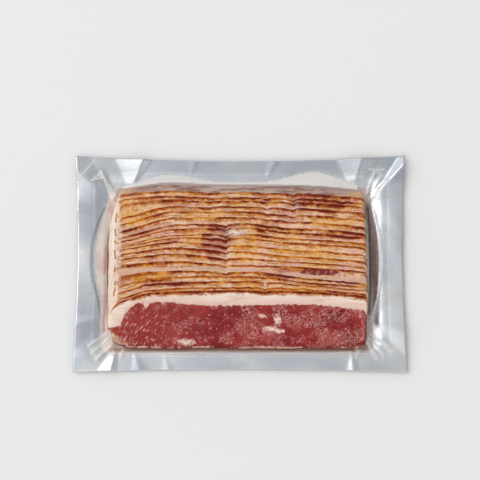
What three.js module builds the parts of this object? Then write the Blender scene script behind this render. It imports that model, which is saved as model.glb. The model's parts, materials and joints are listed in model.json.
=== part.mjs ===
// A vacuum pack of sliced streaky bacon, lying on its foil back with the clear side up.
// Three kinds of piece: a silver foil back web, a clear front film that is sealed to it round the rim,
// and a pile of slices, shingled so that each one shows its upper edge behind the one in front.
// Millimetres. X runs along the slices, Y from the pack's lower edge to its upper edge, Z up out of the
// clear face. The origin is on the surface that the pack lies on, under the middle of the pouch.

import * as THREE from "three";

// The pouch, measured at its corners, and how far the vacuum draws its edges in between them
const POUCH_WIDTH = 264;
const POUCH_HEIGHT = 172.8;
const TOP_EDGE_SAG = 4.6;
const BOTTOM_EDGE_SAG = 2.4;
const SIDE_EDGE_SAG = 2.6;
const SEAL_WIDTH = 13.5;
const FOIL = 0.4;
const FILM = 0.4;
const GAP = 0.3;

// The slices
const LAYER = 1.6;
const SLICE_THICKNESS = LAYER - GAP;
const SLICE_LEFT = -98.5;
const SLICE_RIGHT = 99.5;
const SLICE_LEFT_SPREAD = 5;
const CORNER_RADIUS = 7;

// The upper edges of the slices at mid-length: where the front slice has its own, and how far behind it
// each of the others comes. The last few are bunched into the wall at the pile's upper end.
const FRONT_UPPER_EDGE = -23;
const SHINGLE_STEPS = [2.7, 4.7, 3.9, 3.3, 5.5, 5.6, 5.0, 5.1, 5.7, 3.5, 4.7, 3.6, 5.4, 4.7, 4.1, 4.5, 3.4, 4.1];
const END_WALL_STEPS = [1.4, 1.4, 1.4, 1.4];
const SLICE_COUNT = 1 + SHINGLE_STEPS.length + END_WALL_STEPS.length;
const ARCH = 5;

// The pile: how the slices climb from the lower edges, which rest on the foil one behind the other
const PILE_FRONT = -69;
const PILE_FULL = 26;
const FRONT_WALL_SLICES = 2;
const FRONT_WALL_STEP = 0.4;

// The film over the pile, and where it comes down on the foil round it
const FILM_CLEARANCE = 0.9;
const SHOULDER_X = 101.5;
const SHOULDER_UPPER = 57.4;
const SHOULDER_LOWER = -70;
const LENS_REACH = 10.5;
const LENS_HALF_LENGTH = 46;
const LEAST_REACH = 4.2;
const LOWER_REACH = 5;
const UPPER_REACH = 7.8;
const UPPER_LOBES = [
  { at: -59, halfWidth: 24, reach: 3.8 },
  { at: 43, halfWidth: 28, reach: 6.6 },
];

// The rim of the pouch stands a little off the surface, buckled into flat cones at the pile's corners
const RIM_LIFT = 3.4;
const RIM_RISE = 24;
const CONE_SLOPE = 0.05;
const CONE_SPREAD = 0.3;
const RIM_CONES = [
  { apex: [-88, 57], heading: 92 },
  { apex: [90, 57], heading: 88 },
  { apex: [-97, -62], heading: -112 },
  { apex: [86, -66], heading: -84 },
  { apex: [-102, 40], heading: 176 },
  { apex: [102, 40], heading: 4 },
  { apex: [-103, -40], heading: -172 },
  { apex: [102, -42], heading: -10 },
];

// The film's spare width gathers into one standing fold at each corner, widest where the seal stops it
const CORNER_FOLDS = [
  { start: [-100, 52], end: [-115.8, 71.2], halfWidth: 4.4, height: 4.6 },
  { start: [100, 52], end: [115.2, 70.8], halfWidth: 5.4, height: 5 },
  { start: [-103, -60], end: [-115, -72], halfWidth: 6.2, height: 4.6 },
  { start: [100, -59.5], end: [114, -72.2], halfWidth: 6, height: 4.6 },
];

const smooth = (t) => THREE.MathUtils.smoothstep(t, 0, 1);

// Straight lines between the points (places[k], values[k])
function alongKnots(places, values, at) {
  if (at <= places[0]) return values[0];
  for (let k = 1; k < places.length; k++) {
    if (at > places[k]) continue;
    const share = (at - places[k - 1]) / (places[k] - places[k - 1]);
    return THREE.MathUtils.lerp(values[k - 1], values[k], share);
  }
  return values[values.length - 1];
}

// A thin slab of columns by rows cells, whose corners go where place(column, row, onTop) says. Both
// faces are split into triangles alike, along the diagonals that run out from the slab's middle.
function bentSlab(columns, rows, place) {
  const points = [];
  for (const onTop of [false, true]) {
    for (let row = 0; row <= rows; row++) {
      for (let column = 0; column <= columns; column++) points.push(place(column, row, onTop));
    }
  }
  const faceSize = (columns + 1) * (rows + 1);
  const below = (column, row) => row * (columns + 1) + column;
  const above = (column, row) => faceSize + below(column, row);
  const triangles = [];
  const addQuad = (a, b, c, d) => triangles.push(a, b, c, a, c, d);

  for (let row = 0; row < rows; row++) {
    for (let column = 0; column < columns; column++) {
      const cell = [[column, row], [column + 1, row], [column + 1, row + 1], [column, row + 1]];
      if (column < columns / 2 !== row < rows / 2) cell.push(cell.shift());
      addQuad(...cell.map((corner) => above(...corner)));
      addQuad(...cell.map((corner) => below(...corner)).reverse());
    }
  }
  const addEdge = (from, to) => addQuad(below(...from), below(...to), above(...to), above(...from));
  for (let column = 0; column < columns; column++) {
    addEdge([column, 0], [column + 1, 0]);
    addEdge([column + 1, rows], [column, rows]);
  }
  for (let row = 0; row < rows; row++) {
    addEdge([columns, row], [columns, row + 1]);
    addEdge([0, row + 1], [0, row]);
  }
  const slab = new THREE.BufferGeometry().setFromPoints(points);
  slab.setIndex(triangles);
  return slab;
}

function namedMesh(name, geometry, material) {
  const mesh = new THREE.Mesh(geometry, material);
  mesh.name = name;
  return mesh;
}

// THE PILE OF SLICES. Places in it are given by x and by v, which is y before the pile's arch.

// Upper edge of each slice at the middle of its length
const UPPER_EDGES = [...SHINGLE_STEPS, ...END_WALL_STEPS].reduce(
  (edges, step) => [...edges, edges[edges.length - 1] + step],
  [FRONT_UPPER_EDGE],
);
const SLICE_NUMBERS = UPPER_EDGES.map((edge, n) => n);

// How many slices lie under the front slice's level at v, on straight lines between common knots
const PILE_KNOTS = [PILE_FRONT, -58, -46, -34, -22, -9, 4, 16, PILE_FULL, 44];
const PILE_LEVELS = PILE_KNOTS.map((v) => {
  const share = THREE.MathUtils.clamp((v - PILE_FRONT) / (PILE_FULL - PILE_FRONT), 0, 1);
  const climb = 1.2 * share - 0.2 * share * share;
  return FRONT_WALL_SLICES + (SLICE_COUNT - 1 - FRONT_WALL_SLICES) * climb;
});
const pileLevel = (v) => alongKnots(PILE_KNOTS, PILE_LEVELS, v);

// Lower edge of slice n: where the pile's level brings it down onto the foil
function lowerEdge(n) {
  if (n <= FRONT_WALL_SLICES) return PILE_FRONT + FRONT_WALL_STEP * n;
  return alongKnots(PILE_LEVELS, PILE_KNOTS, n);
}

// The pile's lines rise to the middle of the pack and drop towards both ends, except at the front
function archAt(x, v) {
  return ARCH * Math.pow(Math.abs(x) / 100, 2.5) * smooth((v - PILE_FRONT) / 45);
}

// The slices spread to the left towards their lower edges
const leftSpread = (v, upper) => SLICE_LEFT_SPREAD * smooth((upper - v) / 26);

// Slice n as a slab that drapes over the slices under it, with rounded corners
function sliceGeometry(n) {
  const upper = UPPER_EDGES[n];
  const lower = lowerEdge(n);
  const knots = [lower, ...PILE_KNOTS.filter((v) => v > lower + 2 && v < upper - 2), upper];
  const stagger = 0.7 * Math.sin(n * 2.4);
  const left = SLICE_LEFT + stagger;
  const right = SLICE_RIGHT - 0.6 * stagger;
  const stations = [left, left + 1.5, left + 5, -60, -20, 20, 60, right - 5, right - 1.5, right];
  const lastRow = knots.length - 1;
  const leastRow = 0.4;

  return bentSlab(stations.length - 1, lastRow, (column, row, onTop) => {
    const x = stations[column];
    const toEnd = Math.min(x - left, right - x, CORNER_RADIUS);
    const cut = CORNER_RADIUS - Math.sqrt(toEnd * (2 * CORNER_RADIUS - toEnd));
    const lowest = lower + cut + leastRow * row;
    const highest = upper - cut - leastRow * (lastRow - row);
    const v = THREE.MathUtils.clamp(knots[row], lowest, highest);
    const spread = leftSpread(v, upper) * smooth((-40 - x) / 58);
    const z = FOIL + GAP + LAYER * (pileLevel(v) - n) + (onTop ? SLICE_THICKNESS : 0);
    return new THREE.Vector3(x - spread, v - archAt(x, v), z);
  });
}

function sliceMeshes() {
  const bacon = new THREE.MeshStandardMaterial({ color: 0xb8664e, roughness: 0.42, metalness: 0 });
  return SLICE_NUMBERS.map((n) => namedMesh(`slice_${String(n + 1).padStart(2, "0")}`, sliceGeometry(n), bacon));
}

// THE POUCH. Both webs are height fields over one grid that the vacuum has drawn in at the edges.

// Distance outside a rectangle that is centred on the origin
function outside(x, y, halfX, halfY) {
  return Math.hypot(Math.max(Math.abs(x) - halfX, 0), Math.max(Math.abs(y) - halfY, 0));
}

// Underside of the foil web: flat under the pile, then up to the rim and its flat cones
function foilHeight(x, y) {
  const away = smooth(outside(x, y, 104, 62) / RIM_RISE);
  let height = RIM_LIFT * away;
  for (const cone of RIM_CONES) {
    const dx = x - cone.apex[0];
    const dy = y - cone.apex[1];
    const turn = Math.atan2(dy, dx) - THREE.MathUtils.degToRad(cone.heading);
    const off = Math.atan2(Math.sin(turn), Math.cos(turn)) / CONE_SPREAD;
    height += CONE_SLOPE * Math.hypot(dx, dy) * Math.exp(-off * off) * away;
  }
  return height;
}

// Height of the pile's own top at v, up to the wall that the last few upper edges make
function pileTop(v) {
  const wall = UPPER_EDGES[SHINGLE_STEPS.length];
  const front = alongKnots(UPPER_EDGES, SLICE_NUMBERS, Math.min(v, wall));
  return LAYER * (pileLevel(v) - front + 1);
}

// How far from the pile the film comes down: a long lens at each end of the slices, two lobes above
// them and a narrow strip below
function reachX(y) {
  const off = Math.min(Math.abs(y - 3) / LENS_HALF_LENGTH, 1);
  return LEAST_REACH + LENS_REACH * (1 - off * off);
}

function reachY(x, above) {
  if (!above) return LOWER_REACH;
  return UPPER_REACH + UPPER_LOBES.reduce((sum, lobe) => {
    const off = (x - lobe.at) / lobe.halfWidth;
    return sum + lobe.reach * Math.exp(-off * off);
  }, 0);
}

// Standing fold: a flat-topped ridge that widens from the pile's corner to the seal and stops there
function foldHeight(fold, x, y) {
  const start = new THREE.Vector2(...fold.start);
  const along = new THREE.Vector2(...fold.end).sub(start);
  const length = along.length();
  along.divideScalar(length);
  const from = new THREE.Vector2(x, y).sub(start);
  const share = from.dot(along) / length;
  const halfWidth = fold.halfWidth * (0.5 + 0.5 * share);
  const ridge = THREE.MathUtils.clamp(1.25 - Math.abs(from.cross(along)) / halfWidth, 0, 1);
  const reach = smooth(share / 0.15) * (1 - smooth((share - 0.96) / 0.14));
  return fold.height * (1 - 0.45 * share) * ridge * reach;
}

// Underside of the clear film
function filmHeight(x, y) {
  const rim = foilHeight(x, y) + FOIL + GAP;
  const v = y + archAt(x, y);
  const insideV = THREE.MathUtils.clamp(v, SHOULDER_LOWER, SHOULDER_UPPER);
  const shoulderX = SHOULDER_X + (x < 0 ? leftSpread(v - 4, FRONT_UPPER_EDGE) : 0);
  const offX = Math.max(Math.abs(x) - shoulderX, 0) / reachX(y);
  const offY = Math.abs(v - insideV) / reachY(x, v > 0);
  const share = Math.max(1 - Math.hypot(offX, offY), 0);
  const shoulder = FOIL + GAP + pileTop(insideV) + FILM_CLEARANCE;
  const tent = rim + (shoulder - rim) * share * share;
  const folds = CORNER_FOLDS.map((fold) => foldHeight(fold, x, y));
  return Math.max(tent, rim + Math.max(...folds));
}

// Where a point of the flat rectangle goes when the vacuum draws the edges in. The lines next to the
// pile follow its arch and its spread to the left, and run straight again at the rim.
function drawnIn(x, y) {
  const nearSide = Math.pow(Math.abs(x) / (POUCH_WIDTH / 2), 4);
  const nearEnd = Math.pow(Math.abs(y) / (POUCH_HEIGHT / 2), 4);
  const sag = y > 0 ? TOP_EDGE_SAG : BOTTOM_EDGE_SAG;
  const bowX = SIDE_EDGE_SAG * (1 - Math.pow(2 * y / POUCH_HEIGHT, 2)) * nearSide;
  const bowY = sag * (1 - Math.pow(2 * x / POUCH_WIDTH, 2)) * nearEnd;
  const arch = archAt(x, y) * (1 - smooth((y - SHOULDER_UPPER) / 18)) * (1 - smooth((Math.abs(x) - 102) / 16));
  const spread = x < 0 ? leftSpread(y, FRONT_UPPER_EDGE) * (1 - smooth((-x - 104) / 14)) : 0;
  return new THREE.Vector2(
    x - Math.sign(x) * bowX - spread * smooth((-x - 80) / 18),
    y - Math.sign(y) * bowY - arch,
  );
}

// A web of the pouch: its underside at height(x, y), its thickness laid off square to that surface
function webGeometry(thickness, height) {
  const step = 0.5;
  return bentSlab(X_LINES.length - 1, Y_LINES.length - 1, (column, row, onTop) => {
    const at = drawnIn(X_LINES[column], Y_LINES[row]);
    const z = height(at.x, at.y);
    const point = new THREE.Vector3(at.x, at.y, z);
    if (!onTop) return point;
    const rise = new THREE.Vector3(
      (height(at.x - step, at.y) - height(at.x + step, at.y)) / (2 * step),
      (height(at.x, at.y - step) - height(at.x, at.y + step)) / (2 * step),
      1,
    );
    return point.addScaledVector(rise.normalize(), thickness);
  });
}

// The grid's lines: close together where the film comes down off the pile, far apart elsewhere
const SEAL_X = POUCH_WIDTH / 2 - SEAL_WIDTH;
const SEAL_Y = POUCH_HEIGHT / 2 - SEAL_WIDTH;
const RIGHT_LINES = [18, 50, 80, 97, 101, 104, 107, 110.5, 114, SEAL_X - 1, SEAL_X + 1, 125, POUCH_WIDTH / 2];
const X_LINES = [...[...RIGHT_LINES].reverse().map((line) => -line), ...RIGHT_LINES];
const Y_LINES = [
  -POUCH_HEIGHT / 2, -80, -SEAL_Y - 1.5, -SEAL_Y + 1, -69.5, -66.5, -63.5, -60.5, -52, -40, -30, -23,
  -10, 4, 16, 26, 36, 46, 53, 57, 60, 63, 66, 69.5, SEAL_Y, SEAL_Y + 2.5, 80, POUCH_HEIGHT / 2,
];

function foilMesh() {
  const silver = new THREE.MeshStandardMaterial({ color: 0xbcc1c5, roughness: 0.32, metalness: 0.85 });
  return namedMesh("foil_back", webGeometry(FOIL, foilHeight), silver);
}

function filmMesh() {
  const clear = new THREE.MeshStandardMaterial({
    color: 0xf2f4f5, roughness: 0.12, metalness: 0, transparent: true, opacity: 0.22,
  });
  return namedMesh("clear_film", webGeometry(FILM, filmHeight), clear);
}

const pack = new THREE.Group();
pack.name = "bacon_pack";
pack.add(foilMesh(), ...sliceMeshes(), filmMesh());

export default pack;
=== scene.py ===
import json
import math

import bpy
import numpy as np
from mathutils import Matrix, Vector
from mathutils.bvhtree import BVHTree

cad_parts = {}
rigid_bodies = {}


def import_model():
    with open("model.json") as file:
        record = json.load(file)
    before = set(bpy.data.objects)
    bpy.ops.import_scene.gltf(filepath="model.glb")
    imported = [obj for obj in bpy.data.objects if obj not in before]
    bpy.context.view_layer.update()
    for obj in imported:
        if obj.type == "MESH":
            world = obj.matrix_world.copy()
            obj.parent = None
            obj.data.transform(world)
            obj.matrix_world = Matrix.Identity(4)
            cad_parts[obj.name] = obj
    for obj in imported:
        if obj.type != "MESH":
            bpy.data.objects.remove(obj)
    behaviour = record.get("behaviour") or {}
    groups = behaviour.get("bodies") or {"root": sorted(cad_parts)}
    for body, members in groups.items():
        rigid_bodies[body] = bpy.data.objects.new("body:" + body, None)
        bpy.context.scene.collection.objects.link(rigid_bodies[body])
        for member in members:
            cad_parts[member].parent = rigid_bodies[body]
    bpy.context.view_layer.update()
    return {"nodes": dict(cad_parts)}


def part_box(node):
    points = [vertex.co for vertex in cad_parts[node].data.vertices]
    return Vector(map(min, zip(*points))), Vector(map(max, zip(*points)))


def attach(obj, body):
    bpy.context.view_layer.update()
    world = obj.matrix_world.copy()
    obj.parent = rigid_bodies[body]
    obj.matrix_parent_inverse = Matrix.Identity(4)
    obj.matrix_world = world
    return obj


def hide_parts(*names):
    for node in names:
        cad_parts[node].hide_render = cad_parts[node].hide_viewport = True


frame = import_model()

# Foil back web: the silver laminate that the pack lies on. It is flat under the pile of slices and
# rises at the rim, where sealing it to the film has buckled it into flat cones and soft waves.
MM = 0.001
FOIL_THICKNESS = 0.16 * MM
FOIL_CELL = 1.2 * MM
FOIL_FLAT_HALF = (104 * MM, 62 * MM)
RIM_LIFT = 3.4 * MM
RIM_RISE = 24 * MM
RIM_FIRST_RISE = 13 * MM
RIM_FIRST_SHARE = 0.65
# Towards the right end the rim rises over a shorter way
SHORTER_RISE = {"by": 3.5 * MM, "from": 60 * MM, "over": 40 * MM}
BUCKLE_RISE = 6 * MM
RIM_WAVE = 0.6 * MM
RIM_WAVE_LENGTH = 46 * MM
# The strip that the lowest slice's edge holds down, and how steeply the foil may rise beyond it
LOWER_BED = {"half_length": 99.5 * MM, "from": -68.1 * MM, "to": -62 * MM, "height": 0.5 * MM, "slope": 2.5}
TOP_EDGE_SAG = 4.6 * MM
BOTTOM_EDGE_SAG = 2.4 * MM
SIDE_EDGE_SAG = 2.6 * MM
SEAL_WIDTH = 13.5 * MM
SEAL_EDGE = 0.9 * MM
SEAL_GROOVE = 0.25 * MM
# Dark broken streaks painted on the foil beyond the pile's left end
LEFT_END_STREAKS = ({"at": -105.4, "breaks": 45}, {"at": -103.4, "breaks": 70})
# Each buckle starts near the pile and widens to the pouch's edge: the headings of its two sides and of
# its ridge, and how fast the ridge climbs
RIM_CONES = (
    {"apex": (-88, 58), "from": 116, "ridge": 66, "to": 56, "slope": 0.13},
    {"apex": (90, 57), "from": 116, "ridge": 74, "to": 50, "slope": 0.12},
    {"apex": (104, 49), "from": 58, "ridge": 48, "to": 12, "slope": 0.11},
    {"apex": (103, 42), "from": 14, "ridge": -22, "to": -40, "slope": 0.03},
    {"apex": (-97, -65), "from": 232, "ridge": 258, "to": 268, "slope": 0.12},
    {"apex": (-84, -68), "from": 262, "ridge": 285, "to": 305, "slope": 0.04},
    {"apex": (88, -68), "from": 255, "ridge": 275, "to": 290, "slope": 0.06},
    {"apex": (103, -44), "from": 35, "ridge": -22, "to": -48, "slope": 0.07},
    {"apex": (-104, 36), "from": 185, "ridge": 165, "to": 150, "slope": 0.06},
    {"apex": (-102, 50), "from": 160, "ridge": 140, "to": 118, "slope": 0.05},
    {"apex": (-104, -42), "from": 225, "ridge": 195, "to": 178, "slope": 0.07},
    {"apex": (-40, 70), "from": 100, "ridge": 72, "to": 55, "slope": 0.03},
    {"apex": (20, 66), "from": 85, "ridge": 62, "to": 50, "slope": 0.03},
    {"apex": (-60, -70), "from": 262, "ridge": 285, "to": 300, "slope": 0.03},
)
# At each corner the webs are pinched into a fold of one to three ribs, from the pile to the seal
# The whiteness given to each fold is partly whitened film, partly painted highlight
CORNER_FOLDS = (
    {"ribs": (((-99, 53), (-111.2, 73.4)), ((-101, 50), (-111.6, 72.8))), "half": (1.6, 2.0), "height": 4.4,
     "outline": ((-99, 54), (-111, 73.4), (-102, 50)), "whiteness_and_glint": 0.5},
    {"ribs": (((-109, 69), (-118.6, 66.6)),), "half": (1.0, 1.6), "height": 2.6,
     "outline": ((-108.4, 68.4), (-111.2, 73.6), (-118.8, 66.4)), "whiteness_and_glint": 0.35},
    {"ribs": (((101, 54), (108.5, 74.0)), ((103, 50), (118.6, 67.2)), ((107, 60), (113.5, 70))),
     "half": (1.3, 1.8), "height": 4.0,
     "outline": ((101, 53), (104, 50), (118.4, 67), (108.6, 74.4)), "whiteness_and_glint": 0.08},
    {"ribs": (((-103, -54), (-119.6, -65.9)), ((-103, -59), (-116.5, -71.5)), ((-101, -64), (-113.2, -76.6))),
     "half": (1.8, 2.6), "height": 4.4,
     "outline": ((-102, -54), (-119.8, -65.8), (-113.2, -77.1), (-100, -65)), "whiteness_and_glint": 0.4},
    {"ribs": (((102, -55), (118.4, -66.6)), ((101, -59), (114, -72.5)), ((99, -62), (109.6, -76.3))),
     "half": (1.8, 2.6), "height": 4.4,
     "outline": ((103, -54), (99, -64), (110.2, -77), (119.2, -67.2)), "whiteness_and_glint": 0.3},
    {"ribs": (((94, -68), (91.5, -76)), ((-92, -67), (-93.5, -75))), "half": (1.0, 1.8), "height": 1.8,
     "outline": ((97, -66), (91, -66), (90.5, -76), (92.5, -76)), "whiteness_and_glint": 0.3},
)
FOIL_SHARE_OF_FOLD = 0.15
# The pile that both webs close round: where its shoulders are, how far beyond them the webs meet, and
# how the pile arches and spreads
SHOULDER_X = 101.5 * MM
SHOULDER_UPPER = 57.4 * MM
SHOULDER_LOWER = -70 * MM
LENS_REACH = 10.5 * MM
LENS_MIDDLE = 3 * MM
LENS_HALF_LENGTH = 46 * MM
LEAST_REACH = 4.2 * MM
LOWER_REACH = 5 * MM
UPPER_REACH = 7.8 * MM
UPPER_LOBES = ({"at": -58, "half": 27, "reach": 7.6}, {"at": 61, "half": 27, "reach": 9.4})
PILE_FRONT = -69 * MM
FRONT_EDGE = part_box("slice_01")[1][1]
ARCH = 5 * MM
ARCH_HALF_LENGTH = 100 * MM
ARCH_POWER = 2.5
ARCH_OVER = 45 * MM
LEFT_SPREAD = 5 * MM
SPREAD_OVER = 26 * MM
foil_low, foil_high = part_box("foil_back")
HALF_WIDTH = (foil_high[0] - foil_low[0]) / 2
HALF_HEIGHT = (foil_high[1] - foil_low[1]) / 2


def smooth(share):
    share = np.clip(share, 0, 1)
    return share * share * (3 - 2 * share)


def drawn_in(x, y):
    """The flat rectangle's points once the vacuum has drawn the edges in."""
    near_side = (np.abs(x) / HALF_WIDTH) ** 4
    near_end = (np.abs(y) / HALF_HEIGHT) ** 4
    sag = np.where(y > 0, TOP_EDGE_SAG, BOTTOM_EDGE_SAG)
    bow_x = SIDE_EDGE_SAG * (1 - (y / HALF_HEIGHT) ** 2) * near_side
    bow_y = sag * (1 - (x / HALF_WIDTH) ** 2) * near_end
    return x - np.sign(x) * bow_x, y - np.sign(y) * bow_y


def soft_waves(x, y, seed, length, count=7):
    """Smooth pseudo-random waves of about that length, between -1 and 1."""
    draw = np.random.default_rng(seed)
    total = np.zeros_like(x)
    for _ in range(count):
        heading = draw.uniform(0, math.tau)
        reach = length * draw.uniform(0.7, 1.6)
        phase = draw.uniform(0, math.tau)
        total += np.sin((x * math.cos(heading) + y * math.sin(heading)) * math.tau / reach + phase)
    return total / math.sqrt(count) / 1.6


def along_rib(rib, x, y):
    """Share of the way along a fold's rib, and the distance to the side of it."""
    start = np.array(rib[0]) * MM
    along = np.array(rib[1]) * MM - start
    length = np.hypot(*along)
    along = along / length
    share = ((x - start[0]) * along[0] + (y - start[1]) * along[1]) / length
    return share, np.abs((x - start[0]) * along[1] - (y - start[1]) * along[0])


def folds_height(x, y):
    """Sharp ribs that fan out from the pile's corner and stop short at the seal."""
    height = np.zeros_like(x)
    for fold in CORNER_FOLDS:
        for rib in fold["ribs"]:
            share, across = along_rib(rib, x, y)
            half = (fold["half"][0] + (fold["half"][1] - fold["half"][0]) * np.clip(share, 0, 1)) * MM
            reach = smooth(share / 0.12) * (1 - smooth((share - 0.98) / 0.07))
            ridge = np.clip(1 - across / half, 0, 1) * reach
            height = np.maximum(height, fold["height"] * MM * (1 - 0.5 * share) * ridge)
    return height


def foil_height(x, y):
    out_x = np.maximum(np.abs(x) - FOIL_FLAT_HALF[0], 0)
    out_y = np.maximum(np.abs(y) - FOIL_FLAT_HALF[1], 0)
    outside = np.hypot(out_x, out_y)
    away = smooth(outside / RIM_RISE)
    buckled = smooth(outside / BUCKLE_RISE)
    to_right = smooth((x - SHORTER_RISE["from"]) / SHORTER_RISE["over"])
    first = smooth(outside / (RIM_FIRST_RISE - SHORTER_RISE["by"] * to_right))
    height = RIM_LIFT * ((1 - RIM_FIRST_SHARE) * away + RIM_FIRST_SHARE * first)
    for cone in RIM_CONES:
        dx = x - cone["apex"][0] * MM
        dy = y - cone["apex"][1] * MM
        turn = np.arctan2(dy, dx) - math.radians(cone["ridge"])
        turn = np.arctan2(np.sin(turn), np.cos(turn))
        towards_first = (turn > 0) == (cone["from"] > cone["ridge"])
        spread = np.where(towards_first, cone["from"], cone["to"]) - cone["ridge"]
        off = np.abs(turn) / math.radians(1) / np.abs(spread)
        height = height + cone["slope"] * np.hypot(dx, dy) * np.maximum(1 - off, 0) * buckled
    height = height + away * RIM_WAVE * soft_waves(x, y, 11, RIM_WAVE_LENGTH)
    height = height + FOIL_SHARE_OF_FOLD * folds_height(x, y)
    past_x = np.maximum(np.abs(x) - LOWER_BED["half_length"], 0)
    past_y = np.maximum.reduce([LOWER_BED["from"] - y, y - LOWER_BED["to"], y * 0])
    held_down = LOWER_BED["height"] + LOWER_BED["slope"] * np.hypot(past_x, past_y)
    return np.clip(height, 0, held_down)


def arch_at(x, v):
    return ARCH * (np.abs(x) / ARCH_HALF_LENGTH) ** ARCH_POWER * smooth((v - PILE_FRONT) / ARCH_OVER)


def inside_pile(x, y):
    """Place across the pile, and its nearest place that is on the pile."""
    v = y + arch_at(x, y)
    return v, np.clip(v, SHOULDER_LOWER, SHOULDER_UPPER)


def pile_distance(x, y):
    """0 on the pile and 1 where the film comes down to the foil."""
    v, inside = inside_pile(x, y)
    spread = np.where(x < 0, LEFT_SPREAD * smooth((FRONT_EDGE - v + 4 * MM) / SPREAD_OVER), 0)
    along_lens = np.minimum(np.abs(y - LENS_MIDDLE) / LENS_HALF_LENGTH, 1)
    reach_x = LEAST_REACH + LENS_REACH * (1 - along_lens ** 2)
    reach_up = UPPER_REACH + sum(
        lobe["reach"] * MM * np.exp(-(((x - lobe["at"] * MM) / (lobe["half"] * MM)) ** 2))
        for lobe in UPPER_LOBES
    )
    off_x = np.maximum(np.abs(x) - SHOULDER_X - spread, 0) / reach_x
    off_y = np.abs(v - inside) / np.where(v > 0, reach_up, LOWER_REACH)
    return np.hypot(off_x, off_y)


def rim_distance(x, y):
    """How far a point of the flat rectangle lies from its nearest edge."""
    return np.minimum(HALF_WIDTH - np.abs(x), HALF_HEIGHT - np.abs(y))


def web_mesh(name, x, y, under, over):
    """A closed thin sheet between two height fields over the same grid."""
    rows, columns = x.shape
    lower = np.arange(rows * columns).reshape(rows, columns)
    upper = lower + rows * columns
    points = np.concatenate([
        np.stack([x, y, under], -1).reshape(-1, 3),
        np.stack([x, y, over], -1).reshape(-1, 3),
    ])
    rim = np.concatenate([lower[0, :-1], lower[:-1, -1], lower[-1, :0:-1], lower[:0:-1, 0]])
    following = np.roll(rim, -1)
    faces = np.concatenate([
        np.stack([upper[:-1, :-1], upper[:-1, 1:], upper[1:, 1:], upper[1:, :-1]], -1).reshape(-1, 4),
        np.stack([lower[:-1, :-1], lower[1:, :-1], lower[1:, 1:], lower[:-1, 1:]], -1).reshape(-1, 4),
        np.stack([rim, following, following + rows * columns, rim + rows * columns], -1),
    ])
    mesh = bpy.data.meshes.new(name)
    mesh.from_pydata(points.tolist(), [], faces.tolist())
    mesh.polygons.foreach_set("use_smooth", np.arange(len(faces)) < len(faces) - len(rim))
    mesh.update()
    return mesh


def web_grid(step):
    columns = round(2 * HALF_WIDTH / step) + 1
    rows = round(2 * HALF_HEIGHT / step) + 1
    across = np.linspace(-HALF_WIDTH, HALF_WIDTH, columns)
    up = np.linspace(-HALF_HEIGHT, HALF_HEIGHT, rows)
    return np.meshgrid(across, up)


def add_piece(name, mesh, material, slot, *nodes):
    """Puts a finished mesh in the scene as the piece that stands for those CAD nodes."""
    piece = bpy.data.objects.new(name, mesh)
    bpy.context.scene.collection.objects.link(piece)
    if material is not None:
        mesh.materials.clear()
        mesh.materials.append(material)
    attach(piece, "root")
    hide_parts(*nodes)


def colour(code):
    """Linear colour of a hex code."""
    parts = [int(code[k:k + 2], 16) / 255 for k in (1, 3, 5)]
    return (*[p / 12.92 if p < 0.04045 else ((p + 0.055) / 1.055) ** 2.4 for p in parts], 1)


def node(tree, kind, inputs=None, **settings):
    """Adds a node; each input is a value or another node's output."""
    made = tree.nodes.new(kind)
    for name, value in settings.items():
        setattr(made, name, value)
    for name, value in (inputs or {}).items():
        if isinstance(value, bpy.types.NodeSocket):
            tree.links.new(value, made.inputs[name])
        else:
            made.inputs[name].default_value = value
    return made


def compute(tree, operation, *values):
    """Output of a Math node on those values or outputs."""
    return node(tree, "ShaderNodeMath", dict(enumerate(values)), operation=operation).outputs[0]


def calculator(tree):
    """Short form of compute for one tree."""
    def calc(operation, *values):
        return compute(tree, operation, *values)

    return calc


def attribute(tree, name):
    return node(tree, "ShaderNodeAttribute", attribute_name=name).outputs["Fac"]


def between(tree, value, low, high, to_low=0.0, to_high=1.0):
    """Smooth step of value from low to high."""
    inputs = {"Value": value, "From Min": low, "From Max": high, "To Min": to_low, "To Max": to_high}
    return node(tree, "ShaderNodeMapRange", inputs, interpolation_type="SMOOTHSTEP").outputs[0]


def mixed(tree, share, first, second):
    """Colour between first and second."""
    made = node(tree, "ShaderNodeMix", data_type="RGBA")
    for socket, value in ((0, share), (6, first), (7, second)):
        if isinstance(value, bpy.types.NodeSocket):
            tree.links.new(value, made.inputs[socket])
        else:
            made.inputs[socket].default_value = value
    return made.outputs[2]


def noise(tree, vector, scale, detail=2.0, roughness=0.5, distortion=0.0):
    inputs = {
        "Vector": vector, "Scale": scale, "Detail": detail, "Roughness": roughness, "Distortion": distortion,
    }
    return node(tree, "ShaderNodeTexNoise", inputs).outputs["Fac"]


def new_material(name):
    material = bpy.data.materials.new(name)
    material.use_nodes = True
    tree = material.node_tree
    tree.nodes.clear()
    output = node(tree, "ShaderNodeOutputMaterial")
    return material, tree, output


def object_place(tree, stretch=(1, 1, 1)):
    """Object coordinates, stretched along the axes."""
    place = node(tree, "ShaderNodeTexCoord").outputs["Object"]
    return node(tree, "ShaderNodeMapping", {"Vector": place, "Scale": stretch}).outputs[0]


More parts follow.
